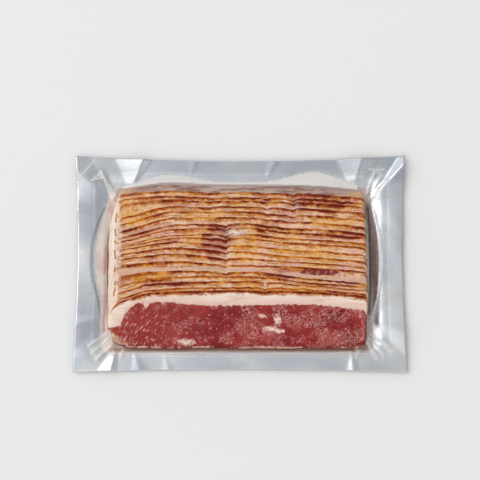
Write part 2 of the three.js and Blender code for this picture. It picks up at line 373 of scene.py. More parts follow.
def foil_laminate():
    """Bright laminate, less metallic where it lies close to the pile, and painted there in rosy and
    purple-brown tones as reflection of the pile and shade.
    """
    material, tree, output = new_material("silver foil laminate")
    calc = calculator(tree)
    place = object_place(tree)
    axes = node(tree, "ShaderNodeSeparateXYZ", {0: place}).outputs
    clouds = noise(tree, place, 22, 3)
    rolled = noise(tree, object_place(tree, (1, 3, 1)), 30, 2, 0.5)
    crinkle = noise(tree, place, 120, 2, 0.5, 0.4)
    tint = mixed(tree, between(tree, clouds, 0.35, 0.65), colour("#CFD4DD"), colour("#DFE1E3"))
    close = attribute(tree, "close")
    off_middle = calc("ABSOLUTE", calc("SUBTRACT", axes[1], LENS_MIDDLE))
    at_lens = between(tree, off_middle, 41 * MM, 50 * MM, 1.0, 0.0)
    to_right = calc("MULTIPLY", between(tree, axes[0], 98 * MM, 101 * MM), at_lens)
    to_left = between(tree, axes[0], -101 * MM, -98 * MM, 1.0, 0.0)
    blush = noise(tree, object_place(tree, (1.6, 1, 1)), 55, 2)
    # Painted reflection of the pile's side: pale beige and pink on the foil beside its left end
    left_lens_reflection = mixed(tree, between(tree, blush, 0.42, 0.6), colour("#F3E7D8"), colour("#E0B0A5"))
    # Painted shade and painted reflection of the slices' dark ends on the foil beside the right end, darkest
    # next to the pile, with a painted shadow line along it
    right_lens_shade_and_reflection = mixed(tree, between(tree, close, 0.45, 0.85), colour("#8F7A74"), colour("#54302A"))
    at_pile = calc("ABSOLUTE", calc("SUBTRACT", close, 0.92))
    shadow_line = between(tree, at_pile, 0.02, 0.07, 0.9, 0.0)
    right_lens_shade_and_reflection = mixed(tree, shadow_line, right_lens_shade_and_reflection, colour("#2A0E0C"))
    # Elsewhere near the pile, as below its lower edge, a greyish painted shade
    pile_reflection_and_shade = mixed(tree, to_right, colour("#C6B3AD"), right_lens_shade_and_reflection)
    pile_reflection_and_shade = mixed(tree, to_left, pile_reflection_and_shade, left_lens_reflection)
    # Dark broken streaks painted over the left lens
    for line in LEFT_END_STREAKS:
        off = calc("ABSOLUTE", calc("SUBTRACT", axes[0], line["at"] * MM))
        stroke = between(tree, off, 0.3 * MM, 0.9 * MM, 1.0, 0.0)
        length = between(tree, calc("ABSOLUTE", axes[1]), 16 * MM, 32 * MM, 1.0, 0.0)
        broken = between(tree, noise(tree, object_place(tree), line["breaks"], 1), 0.28, 0.42)
        stroke = calc("MULTIPLY", calc("MULTIPLY", stroke, length), broken)
        pile_reflection_and_shade = mixed(tree, stroke, pile_reflection_and_shade, colour("#6A2830"))
    start_at_right = between(tree, to_right, 0.0, 1.0, 0.02, 0.30)
    start_below = between(tree, axes[1], -66 * MM, -70 * MM, 0.0, 0.7)
    start = calc("MAXIMUM", start_at_right, start_below)
    share = between(tree, calc("SUBTRACT", close, start), 0.0, 0.12)
    # Painted shade: the foil darker in a band just beyond the left lens, where the film bends down to it
    bend = between(tree, calc("ABSOLUTE", calc("ADD", close, 0.12)), 0.0, 0.2, 0.7, 0.0)
    bend = calc("MULTIPLY", bend, calc("MULTIPLY", to_left, at_lens))
    # Painted shade: the foil darker towards its top edge
    painted_top_shade = between(tree, axes[1], 62 * MM, 70 * MM, 0.0, 0.4)
    tint = mixed(tree, painted_top_shade, tint, colour("#A9B0BA"))
    tint = mixed(tree, bend, tint, colour("#7E868F"))
    tint = mixed(tree, share, tint, pile_reflection_and_shade)
    roughness = between(tree, rolled, 0.3, 0.7, 0.22, 0.30)
    bump = node(tree, "ShaderNodeBump", {"Strength": 0.1, "Distance": 0.2 * MM, "Height": crinkle})
    shader = node(tree, "ShaderNodeBsdfPrincipled", {
        "Base Color": tint, "Metallic": between(tree, share, 0.0, 1.0, 0.92, 0.45), "Roughness": roughness,
        "Normal": bump.outputs[0],
    })
    tree.links.new(shader.outputs[0], output.inputs["Surface"])
    return material


def set_values(mesh, name, values):
    """Stores one number for each point of the mesh, for its material to read."""
    stored = mesh.attributes.new(name, "FLOAT", "POINT")
    stored.data.foreach_set("value", np.ravel(values).astype(np.float32))


def make_foil():
    flat_x, flat_y = web_grid(FOIL_CELL)
    x, y = drawn_in(flat_x, flat_y)
    under = foil_height(x, y)
    seal = np.exp(-((rim_distance(flat_x, flat_y) - SEAL_WIDTH) / SEAL_EDGE) ** 2)
    over = under + FOIL_THICKNESS - SEAL_GROOVE * 0.5 * seal
    mesh = web_mesh("foil back web", x, y, under, over)
    close = 1 - pile_distance(x, y)
    set_values(mesh, "close", np.concatenate([close, close]))
    add_piece("foil_back_web", mesh, foil_laminate(), "foil", "foil_back")


make_foil()

# Pile of slices: streaky bacon cut across the belly, laid down shingled, so that each slice shows its
# smoked upper edge behind the one in front. Vacuum has pressed them together and dented the pile.
SLICE_COUNT = sum(name.startswith("slice_") for name in frame["nodes"])
LAYER = 1.6 * MM
FIRST_BASE = 0.7 * MM
SLICE_THICKNESS = 1.58 * MM
PILE_FULL = 26 * MM
FRONT_WALL_SLICES = 2
BUNCHED_FROM = SLICE_COUNT - 4
SLICE_GRID = (181, 22)
SLICE_WAVINESS = 1.5 * MM
SLICE_LEFT = -98.5 * MM
SLICE_RIGHT = 99.5 * MM
LEFT_CORNER = 7 * MM
RIGHT_CORNER = 3.5 * MM
LOWER_LEFT_CUT = (18 * MM, 6 * MM)
LOWER_RIGHT_CORNER = 5.5 * MM
# Where the smoke lines run together darkly, where the fat is yellow, pale or rosy, and where a streak of
# lean shows: centre and half-widths on the pile, in millimetres
DARK_PATCHES = (
    ((-19, 15), (13, 20)), ((64, 47), (27, 9)), ((86, 22), (20, 7)), ((-84, 24), (14, 5)),
    ((22, 25), (14, 8)), ((-60, -18), (22, 4)), ((36, -10), (11, 5)), ((74, -17), (22, 5)),
)
YELLOW_PATCHES = (
    ((-84, 36), (18, 8)), ((5, 9), (14, 13)), ((-30, 37), (22, 7)), ((-72, -10), (26, 8)),
    ((44, 6), (26, 7)), ((30, -24), (40, 4)), ((72, 30), (24, 6)),
)
PALE_PATCHES = (
    ((-70, -8.5), (36, 4)), ((-10, -6), (44, 2.6)), ((50, -11), (24, 3.2)), ((84, -16), (24, 4.2)),
    ((-84, -24), (18, 2.2)),
)
MAUVE_PATCHES = (
    ((-50, 47), (20, 4)), ((-8, 40), (8, 5)), ((46, 48), (9, 6)), ((-18, 16), (16, 16)), ((40, 33), (14, 3)),
    ((-60, 28), (16, 4)), ((70, 20), (18, 4)),
)
LEAN_PATCH = ((62.5, -8.8), (19, 3.4))
PILE_KNOTS = np.array([-69, -58, -46, -34, -22, -9, 4, 16, 26, 44]) * MM
# Where all the edges of a stretch of the pile swing lower together: between which places along them, over
# which stretch, within what it builds up and fades, and by how much
SWINGS = (
    {"beyond": -50, "full": -98, "from": -8, "to": 50, "builds": 44, "fades": 7, "drop": 7.5},
    {"beyond": -70, "full": -99, "from": -60, "to": -4, "builds": 14, "fades": 14, "drop": 5.0},
    {"beyond": 0, "full": -60, "from": -14, "to": 23, "builds": 11, "fades": 14, "drop": -4.2},
    {"beyond": 2, "full": 42, "from": -8, "to": 48, "builds": 14, "fades": 14, "drop": 3.2},
    {"beyond": 10, "full": 60, "from": -24, "to": -5, "builds": 14, "fades": 3, "drop": 4.2},
    {"beyond": -22, "full": -62, "from": 30, "to": 90, "builds": 20, "fades": 5, "drop": -2.6},
)
# Dents where the film has pulled a crease across the edges: place along the slices, the stretch of the
# pile that it crosses, how deep it draws the edges down and how far to either side
CREASES = (
    {"x": -10.5, "from": -10, "to": 32, "depth": 1.9, "left": 11, "right": 2},
    {"x": 22, "from": 34, "to": 60, "depth": 1.3, "left": 6, "right": 3},
    {"x": 43, "from": 36, "to": 58, "depth": 2.4, "left": 10, "right": 2.5},
    {"x": 19.5, "from": -26, "to": -12, "depth": 1.5, "left": 8, "right": 6},
    {"x": -24, "from": 32, "to": 44, "depth": 1.0, "left": 6, "right": 5},
    {"x": -40, "from": 36, "to": 50, "depth": 0.9, "left": 7, "right": 7},
    {"x": 81, "from": 38, "to": 56, "depth": 0.9, "left": 6, "right": 6},
)


def pile_levels():
    share = np.clip((PILE_KNOTS - PILE_FRONT) / (PILE_FULL - PILE_FRONT), 0, 1)
    return FRONT_WALL_SLICES + (SLICE_COUNT - 1 - FRONT_WALL_SLICES) * (1.2 * share - 0.2 * share ** 2)


PILE_LEVELS = pile_levels()
UPPER_EDGES = [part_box(f"slice_{k + 1:02d}")[1][1] for k in range(SLICE_COUNT)]


def lower_edge(number):
    if number <= FRONT_WALL_SLICES:
        return PILE_FRONT + (0.4 * number - 0.6) * MM
    return float(np.interp(number, PILE_LEVELS, PILE_KNOTS))


def draped_slice_tree():
    """Node tree that bends a grid into one slice lying on the pile."""
    tree = bpy.data.node_groups.new("draped slice", "GeometryNodeTree")
    tree.interface.new_socket(name="Slice", in_out="OUTPUT", socket_type="NodeSocketGeometry")
    for name in ("Left", "Right", "Lower", "Upper", "Number", "Thickness", "Waviness"):
        tree.interface.new_socket(name=name, in_out="INPUT", socket_type="NodeSocketFloat")
    for name in ("Columns", "Rows"):
        tree.interface.new_socket(name=name, in_out="INPUT", socket_type="NodeSocketInt")
    tree.interface.new_socket(name="Material", in_out="INPUT", socket_type="NodeSocketMaterial")
    given = node(tree, "NodeGroupInput").outputs
    calc = calculator(tree)

    def cut_at(distance, corner):
        """How much a round corner takes off the edge at that distance from the end."""
        bend = calc("MINIMUM", distance, corner)
        chord = calc("SQRT", calc("MULTIPLY", bend, calc("SUBTRACT", 2 * corner, bend)))
        return calc("SUBTRACT", corner, chord)

    grid = node(tree, "GeometryNodeMeshGrid", {
        "Size X": 1.0, "Size Y": 1.0, "Vertices X": given["Columns"], "Vertices Y": given["Rows"],
    })
    position = node(tree, "GeometryNodeInputPosition").outputs[0]
    flat = node(tree, "ShaderNodeSeparateXYZ", {0: position}).outputs
    along_share = calc("ADD", flat[0], 0.5)
    across_share = calc("ADD", flat[1], 0.5)
    length = calc("SUBTRACT", given["Right"], given["Left"])
    x = calc("MULTIPLY_ADD", along_share, length, given["Left"])

    # Rounded corners, and rows that close up towards both long edges
    to_left = calc("MAXIMUM", calc("SUBTRACT", x, given["Left"]), 0.0)
    to_right = calc("MAXIMUM", calc("SUBTRACT", given["Right"], x), 0.0)
    to_end = calc("MINIMUM", to_left, to_right)
    cut = calc("ADD", cut_at(to_left, LEFT_CORNER), cut_at(to_right, RIGHT_CORNER))
    eased = calc("MULTIPLY_ADD", calc("COSINE", calc("MULTIPLY", across_share, math.pi)), -0.5, 0.5)
    width = calc("SUBTRACT", given["Upper"], given["Lower"])
    cut_low = between(tree, to_left, 0.0, LOWER_LEFT_CUT[0], LOWER_LEFT_CUT[1], 0.0)
    cut_low = calc("ADD", cut_at(to_right, LOWER_RIGHT_CORNER), cut_low)
    edge_place = node(tree, "ShaderNodeCombineXYZ", {0: x, 1: 0.3}).outputs[0]
    cut_low = calc("MULTIPLY_ADD", noise(tree, edge_place, 45, 2), 2.4 * MM, cut_low)
    open_width = calc("SUBTRACT", calc("MULTIPLY_ADD", cut, -2.0, width), cut_low)
    low_side = calc("MULTIPLY", eased, open_width)
    depth = calc("SUBTRACT", open_width, low_side)
    v = calc("ADD", calc("ADD", given["Lower"], calc("ADD", cut, cut_low)), low_side)

    # The cut edge wanders, and each crease draws it down
    seed = calc("MULTIPLY", given["Number"], 7.31)
    wander = node(tree, "ShaderNodeCombineXYZ", {0: x, 1: seed}).outputs[0]
    long_waves = calc("SUBTRACT", noise(tree, wander, 55, 1), 0.5)
    short_waves = calc("SUBTRACT", noise(tree, wander, 230, 2), 0.5)
    waves = calc("MULTIPLY_ADD", short_waves, 0.95, long_waves)
    drawn = calc("MULTIPLY", waves, given["Waviness"])
    dent = 0.0
    own_place = node(tree, "ShaderNodeCombineXYZ", {1: seed}).outputs[0]
    own_share = between(tree, noise(tree, own_place, 400, 1), 0.35, 0.65, 0.35, 1.5)
    for crease in CREASES:
        off = calc("SUBTRACT", x, crease["x"] * MM)
        off_left = calc("DIVIDE", off, crease["left"] / 2.2 * MM)
        off_right = calc("DIVIDE", off, -crease["right"] / 2.2 * MM)
        pull = calc("EXPONENT", calc("MINIMUM", off_left, off_right))
        begins = between(tree, v, (crease["from"] - 5) * MM, (crease["from"] + 4) * MM)
        ends = between(tree, v, (crease["to"] - 4) * MM, (crease["to"] + 5) * MM, 1.0, 0.0)
        held = calc("MULTIPLY", calc("MULTIPLY", begins, ends), calc("MULTIPLY", pull, own_share))
        dent = calc("MULTIPLY_ADD", held, crease["depth"] * MM, dent)
    droop = 0.0
    for swing in SWINGS:
        builds_up = between(tree, x, swing["beyond"] * MM, swing["full"] * MM, 0.0, swing["drop"] * MM)
        begins = between(tree, v, swing["from"] * MM, (swing["from"] + swing["builds"]) * MM)
        ends = between(tree, v, (swing["to"] - swing["fades"]) * MM, swing["to"] * MM, 1.0, 0.0)
        droop = calc("MULTIPLY_ADD", calc("MULTIPLY", begins, ends), builds_up, droop)
    near_edge = between(tree, depth, 0.0, 20 * MM, 1.0, 0.0)
    shift = calc("MULTIPLY", calc("SUBTRACT", drawn, calc("ADD", dent, droop)), near_edge)
    v = calc("ADD", v, shift)

    # Arch of the pile and its spread to the left
    off_middle = calc("POWER", calc("DIVIDE", calc("ABSOLUTE", x), ARCH_HALF_LENGTH), ARCH_POWER)
    settled = between(tree, v, PILE_FRONT, PILE_FRONT + ARCH_OVER)
    y = calc("SUBTRACT", v, calc("MULTIPLY", calc("MULTIPLY", off_middle, settled), ARCH))
    below_edge = between(tree, calc("SUBTRACT", given["Upper"], v), 0.0, SPREAD_OVER)
    at_left = between(tree, x, -98 * MM, -40 * MM, 1.0, 0.0)
    x = calc("SUBTRACT", x, calc("MULTIPLY", calc("MULTIPLY", below_edge, at_left), LEFT_SPREAD))

    # Height on the pile: the level there, less the slices in front
    curve = node(tree, "ShaderNodeFloatCurve")
    span = PILE_KNOTS[-1] - PILE_KNOTS[0]
    points = curve.mapping.curves[0].points
    while len(points) < len(PILE_KNOTS):
        points.new(0.5, 0.5)
    for point, knot, level in zip(points, PILE_KNOTS, PILE_LEVELS):
        point.location = ((knot - PILE_KNOTS[0]) / span, level / SLICE_COUNT)
        point.handle_type = "VECTOR"
    curve.mapping.update()
    reach = calc("DIVIDE", calc("SUBTRACT", v, float(PILE_KNOTS[0])), float(span))
    tree.links.new(reach, curve.inputs["Value"])
    level = calc("MULTIPLY", curve.outputs[0], float(SLICE_COUNT))
    raised = calc("MULTIPLY", calc("SUBTRACT", level, given["Number"]), LAYER)
    sunk = calc("MULTIPLY", dent, between(tree, raised, 0.0, 10 * MM, 0.0, -0.5))
    bedded = between(tree, raised, 0.0, 4 * MM, 0.0, -0.45 * MM)
    under = calc("ADD", calc("ADD", raised, FIRST_BASE), calc("ADD", sunk, bedded))

    # Rounded rim, a feathered upper edge and a soft uneven face
    rim = calc("MINIMUM", calc("MINIMUM", depth, low_side), to_end)
    rim = calc("MINIMUM", calc("DIVIDE", rim, 0.8 * MM), 1.0)
    round_rim = calc("SQRT", calc("SUBTRACT", 1.0, calc("POWER", calc("SUBTRACT", 1.0, rim), 2.0)))
    feather = between(tree, depth, 0.0, 3.8 * MM, 0.36, 1.0)
    face_place = node(tree, "ShaderNodeCombineXYZ", {0: x, 1: y, 2: seed}).outputs[0]
    uneven = calc("MULTIPLY_ADD", noise(tree, face_place, 260, 2), 0.34, 1.08)
    full_height = calc("MULTIPLY", given["Thickness"], feather)
    height = calc("MULTIPLY", full_height, calc("MULTIPLY", round_rim, uneven))

    lower_point = node(tree, "ShaderNodeCombineXYZ", {0: x, 1: y, 2: under}).outputs[0]
    upper_point = node(tree, "ShaderNodeCombineXYZ", {0: x, 1: y, 2: calc("ADD", under, height)}).outputs[0]
    kept = grid.outputs[0]
    stored = {"depth": depth, "low": low_side, "along": x, "number": given["Number"], "dent": dent}
    for name, value in stored.items():
        inputs = {"Geometry": kept, "Name": name}
        store = node(tree, "GeometryNodeStoreNamedAttribute", inputs, data_type="FLOAT")
        tree.links.new(value, store.inputs["Value"])
        kept = store.outputs[0]
    lower_face = node(tree, "GeometryNodeSetPosition", {"Geometry": kept, "Position": lower_point}).outputs[0]
    upper_face = node(tree, "GeometryNodeSetPosition", {"Geometry": kept, "Position": upper_point}).outputs[0]
    turned = node(tree, "GeometryNodeFlipFaces", {"Mesh": lower_face}).outputs[0]
    joined = node(tree, "GeometryNodeJoinGeometry")
    tree.links.new(turned, joined.inputs[0])
    tree.links.new(upper_face, joined.inputs[0])
    closed = node(tree, "GeometryNodeMergeByDistance", {
        "Geometry": joined.outputs[0], "Distance": 0.001 * MM,
    })
    shaded = node(tree, "GeometryNodeSetShadeSmooth", {"Geometry": closed.outputs[0]})
    real = node(tree, "GeometryNodeRealizeInstances", {"Geometry": shaded.outputs[0]})
    finished = node(tree, "GeometryNodeSetMaterial", {
        "Geometry": real.outputs[0], "Material": given["Material"],
    })
    result = node(tree, "NodeGroupOutput")
    tree.links.new(finished.outputs[0], result.inputs[0])
    return tree


def shape_by_nodes(name, tree, values):
    """The mesh that a node tree makes with those named inputs."""
    holder = bpy.data.objects.new(name, bpy.data.meshes.new(name))
    bpy.context.scene.collection.objects.link(holder)
    modifier = holder.modifiers.new(name, "NODES")
    modifier.node_group = tree
    sockets = {item.name: item.identifier for item in tree.interface.items_tree if item.in_out == "INPUT"}
    for key, value in values.items():
        modifier[sockets[key]] = value
    evaluated = holder.evaluated_get(bpy.context.evaluated_depsgraph_get())
    mesh = bpy.data.meshes.new_from_object(evaluated)
    bpy.data.objects.remove(holder)
    mesh.name = name
    return mesh


def patch(tree, axes, centre, half):
    """1 in the middle of an ellipse on the pile, 0 beyond its edge."""
    off_x = compute(tree, "DIVIDE", compute(tree, "SUBTRACT", axes[0], centre[0] * MM), half[0] * MM)
    off_y = compute(tree, "DIVIDE", compute(tree, "SUBTRACT", axes[1], centre[1] * MM), half[1] * MM)
    squares = compute(tree, "MULTIPLY_ADD", off_x, off_x, compute(tree, "MULTIPLY", off_y, off_y))
    return between(tree, squares, 0.25, 1.0, 1.0, 0.0)


def patches(tree, axes, places):
    total = 0.0
    for centre, half in places:
        total = compute(tree, "MAXIMUM", patch(tree, axes, centre, half), total)
    return total


def smoke_line(tree, fat, own, depth, darkness, paleness_and_painted_shade):
    """Over the fat, the ragged stain that smoking leaves along an edge, with a darker core."""
    calc = calculator(tree)
    beads = noise(tree, own, 420, 3, 0.65)
    ragged = calc("SUBTRACT", noise(tree, own, 600, 3, 0.65), 0.5)
    edge = calc("MULTIPLY_ADD", ragged, 2.2 * MM, depth)
    strength = calc("MULTIPLY_ADD", darkness, 0.12, noise(tree, own, 62, 3, 0.6))
    band_width = between(tree, strength, 0.32, 0.62, 1.6 * MM, 3.5 * MM)
    band_width = calc("MULTIPLY", band_width, calc("MULTIPLY_ADD", beads, 0.9, 0.55))
    band = between(tree, calc("DIVIDE", edge, band_width), 0.75, 1.35, 0.9, 0.0)
    core_place = calc("MULTIPLY_ADD", noise(tree, own, 110, 2), 1.8 * MM, 0.1 * MM)
    core_width = between(tree, strength, 0.36, 0.60, 0.3 * MM, 1.25 * MM)
    core_width = calc("MULTIPLY", core_width, calc("MULTIPLY_ADD", beads, 1.1, 0.45))
    core_width = calc("MULTIPLY", core_width, calc("MULTIPLY_ADD", darkness, 0.45, 1.0))
    core = calc("DIVIDE", calc("ABSOLUTE", calc("SUBTRACT", edge, core_place)), core_width)
    faded = calc("MULTIPLY_ADD", darkness, 0.2, noise(tree, own, 88, 3, 0.65))
    core = between(tree, core, 0.6, 1.3, 1.0, 0.0)
    core = calc("MULTIPLY", core, between(tree, faded, 0.37, 0.50, 0.15, 1.0))
    fine_tone = calc("MULTIPLY", noise(tree, own, 330, 2), 0.45)
    tone = calc("MULTIPLY_ADD", noise(tree, own, 48, 3, 0.6), 0.55, fine_tone)
    # Tone raised by the paleness passed in, lowered by darkness and by the painted shade that comes in with
    # the paleness
    tone = calc("ADD", calc("MULTIPLY_ADD", darkness, -0.12, calc("SUBTRACT", tone, 0.015)), paleness_and_painted_shade)
    stain = mixed(tree, between(tree, tone, 0.42, 0.50), colour("#B05A28"), colour("#C98230"))
    stain = mixed(tree, between(tree, tone, 0.52, 0.62), stain, colour("#DD9E38"))
    smoke = mixed(tree, between(tree, tone, 0.43, 0.50), colour("#6C1A0A"), colour("#923C14"))
    smoke = mixed(tree, between(tree, tone, 0.50, 0.58), smoke, colour("#B05512"))
    smoke = mixed(tree, between(tree, tone, 0.60, 0.68), smoke, colour("#CE8628"))
    surface = mixed(tree, band, fat, stain)

    # Second broken line a little below the first
    lower_line = calc("ABSOLUTE", calc("SUBTRACT", edge, calc("MULTIPLY_ADD", beads, 2.6 * MM, 2.2 * MM)))
    broken = between(tree, noise(tree, own, 95, 3, 0.7), 0.50, 0.58)
    lower_line = calc("MULTIPLY", between(tree, lower_line, 0.15 * MM, 0.6 * MM, 0.8, 0.0), broken)
    surface = mixed(tree, lower_line, surface, colour("#A65A28"))
    return mixed(tree, core, surface, smoke)


def smoked_edge_bacon():
    """Pale fat with the irregular brown line that smoking leaves along each slice's upper edge."""
    material, tree, output = new_material("smoked edge bacon")
    calc = calculator(tree)
    place = object_place(tree)
    axes = node(tree, "ShaderNodeSeparateXYZ", {0: place}).outputs
    depth = attribute(tree, "depth")
    along = attribute(tree, "along")
    number = attribute(tree, "number")
    dent = attribute(tree, "dent")
    own = node(tree, "ShaderNodeCombineXYZ", {
        0: along, 1: calc("MULTIPLY", number, 3.17), 2: calc("MULTIPLY", depth, 1.4),
    }).outputs[0]
    dark_zone = patches(tree, axes, DARK_PATCHES)
    dappled = between(tree, noise(tree, own, 120, 3, 0.65), 0.36, 0.6, 0.3, 1.2)
    dark_zone = calc("MULTIPLY", dark_zone, dappled)
    yellow_zone = patches(tree, axes, YELLOW_PATCHES)
    pale_zone = patches(tree, axes, PALE_PATCHES)

    # Fat: pinkish tan, with yellow and rosy stretches that run on across neighbouring slices
    broad = noise(tree, object_place(tree, (1, 1.6, 0.2)), 24, 2)
    rosy = noise(tree, object_place(tree, (1.2, 2.5, 0.2)), 31, 2)
    fat = mixed(tree, between(tree, broad, 0.42, 0.62), colour("#E8C1A1"), colour("#E3B076"))
    fat = mixed(tree, between(tree, rosy, 0.48, 0.66), fat, colour("#DBAA9B"))
    fat = mixed(tree, calc("MULTIPLY", yellow_zone, 0.45), fat, colour("#E8A83C"))
    fat = mixed(tree, calc("MULTIPLY", patches(tree, axes, MAUVE_PATCHES), 0.6), fat, colour("#C39087"))
    streak = noise(tree, own, 210, 3, 0.65)
    fat = mixed(tree, between(tree, streak, 0.44, 0.66, 0, 0.7), fat, colour("#C18555"))
    bright = between(tree, noise(tree, own, 560, 2, 0.6), 0.54, 0.66, 0.0, 0.5)
    fat = mixed(tree, bright, fat, colour("#F6DFC9"))
    fat = mixed(tree, calc("MULTIPLY", dark_zone, 0.45), fat, colour("#AE6C58"))

    # Yellow patches lift the smoke's tone; the creases' dents lower it, as painted shade in the creases
    yellow_lift_and_crease_shade = calc("MULTIPLY_ADD", yellow_zone, 0.08, calc("MULTIPLY", dent, -40.0))
    surface = smoke_line(tree, fat, own, depth, dark_zone, yellow_lift_and_crease_shade)
    veins = between(tree, noise(tree, object_place(tree, (0.4, 1.8, 1)), 190, 3, 0.6), 0.42, 0.66, 0.0, 0.7)
    bare_fat = mixed(tree, veins, colour("#DDB7A2"), colour("#C99C88"))
    clear_of_line = calc("MULTIPLY", pale_zone, between(tree, depth, 1.4 * MM, 2.8 * MM))
    surface = mixed(tree, calc("MULTIPLY", clear_of_line, 0.85), surface, bare_fat)

    # A streak of lean shows through one strip, and the left ends are pale
    torn = noise(tree, object_place(tree, (0.5, 1.6, 1)), 260, 3, 0.7)
    ragged = calc("MULTIPLY", calc("SUBTRACT", torn, 0.5), 2.6)
    lean_streak = calc("ADD", patch(tree, axes, *LEAN_PATCH), ragged)
    shreds = between(tree, noise(tree, own, 300, 3, 0.6), 0.36, 0.50, 0.55, 1.0)
    lean_streak = calc("MULTIPLY", between(tree, lean_streak, 0.35, 0.75, 0.0, 0.95), shreds)
    surface = mixed(tree, lean_streak, surface, colour("#7A1E26"))
    frayed = calc("MULTIPLY_ADD", calc("SUBTRACT", torn, 0.5), 9 * MM, axes[0])
    at_left = between(tree, frayed, -96.8 * MM, -94.6 * MM, 1.0, 0.0)
    surface = mixed(tree, calc("MULTIPLY", at_left, 0.85), surface, colour("#F0DDCB"))
    sway = noise(tree, object_place(tree, (0.01, 1, 1)), 130, 2)
    ticks = calc("ABSOLUTE", calc("MULTIPLY_ADD", sway, 4 * MM, calc("SUBTRACT", axes[0], -96.2 * MM)))
    ticks = between(tree, ticks, 0.3 * MM, 1.0 * MM, 0.9, 0.0)
    dashes = between(tree, noise(tree, object_place(tree, (0.2, 1, 0.2)), 240, 1), 0.46, 0.56)
    surface = mixed(tree, calc("MULTIPLY", ticks, dashes), surface, colour("#A85A32"))

    # The bunched slices at the upper end are seen through a bridge of film
    bunched = between(tree, number, BUNCHED_FROM - 0.6, BUNCHED_FROM - 0.4)
    cloudy = between(tree, noise(tree, own, 60, 3, 0.6), 0.38, 0.62)
    veil = mixed(tree, cloudy, colour("#9C7C74"), colour("#D0BCB2"))
    veil = mixed(tree, between(tree, calc("ABSOLUTE", axes[0]), 78 * MM, 92 * MM), veil, colour("#DDB995"))
    surface = mixed(tree, calc("MULTIPLY", bunched, 0.82), surface, veil)

    bump_height = noise(tree, place, 420, 3, 0.6)
    bump = node(tree, "ShaderNodeBump", {"Strength": 0.35, "Distance": 0.25 * MM, "Height": bump_height})
    shader = node(tree, "ShaderNodeBsdfPrincipled", {
        "Base Color": surface, "Roughness": 0.42, "Specular IOR Level": 0.06, "Normal": bump.outputs[0],
    })
    tree.links.new(shader.outputs[0], output.inputs["Surface"])
    return material


slice_tree = draped_slice_tree()
smoked_bacon = smoked_edge_bacon()


def make_slice(number, material, grid, waviness):
    stagger = 0.7 * MM * math.sin(number * 2.4)
    name = f"bacon_slice_{number + 1:02d}"
    mesh = shape_by_nodes(name, slice_tree, {
        "Left": SLICE_LEFT + stagger, "Right": SLICE_RIGHT - 0.6 * stagger,
        "Lower": lower_edge(number), "Upper": UPPER_EDGES[number], "Number": float(number),
        "Thickness": SLICE_THICKNESS, "Waviness": waviness, "Columns": grid[0], "Rows": grid[1],
        "Material": material,
    })
    add_piece(name, mesh, None, "bacon", f"slice_{number + 1:02d}")


for number in range(1, SLICE_COUNT):
    make_slice(number, smoked_bacon, SLICE_GRID, SLICE_WAVINESS)

# Front slice: the one whole slice that shows, with a fat cap along its upper edge and left end, dark
# red lean shot with fine marbling, and a thin seam of fat and rind along its lower edge.
FRONT_GRID = (221, 44)
FRONT_WAVINESS = 0.5 * MM
# Outline of the lean, in millimetres: along its upper edge, and how far left it reaches higher and lower
LEAN_UPPER = (
    (-104, -48.5), (-94, -47.5), (-90.5, -42.6), (-87, -38.4), (-82, -34.7), (-77, -32.9),
    (-73.5, -36.7), (-70, -33.1), (-62, -32.3), (-46, -33.5), (-31, -34.8), (-10, -35.1),
    (15.6, -34.6), (46.7, -34), (62, -34.9), (78, -36.3), (95, -38.6), (98, -40.9),
    (100.5, -45.9),
)
LEAN_LEFT = -93.6
LEAN_LEFT_LOW = -103.5
# Highest and lowest that the upper edge may run
LEAN_UPPER_RANGE = (-30, -50)
# Islands of fat within the lean, and brown spots in the lower left corner
SEAM_FAT = (
    {"at": (-42.5, -62.8), "half": (7.5, 2.6)},
    {"at": (23.5, -52.9), "half": (5.0, 1.9)},
    {"at": (31.4, -54.4), "half": (4.0, 1.3)},
    {"at": (29.7, -45.5), "half": (2.6, 3.8)},
    {"at": (17, -43), "half": (4.0, 1.6)},
)
BROWN_SPOTS = (
    {"at": (-101.4, -53.0), "half": (2.2, 1.3)},
    {"at": (-97.6, -55.4), "half": (1.6, 1.2)},
    {"at": (-93.5, -65.6), "half": (3.4, 0.7)},
)


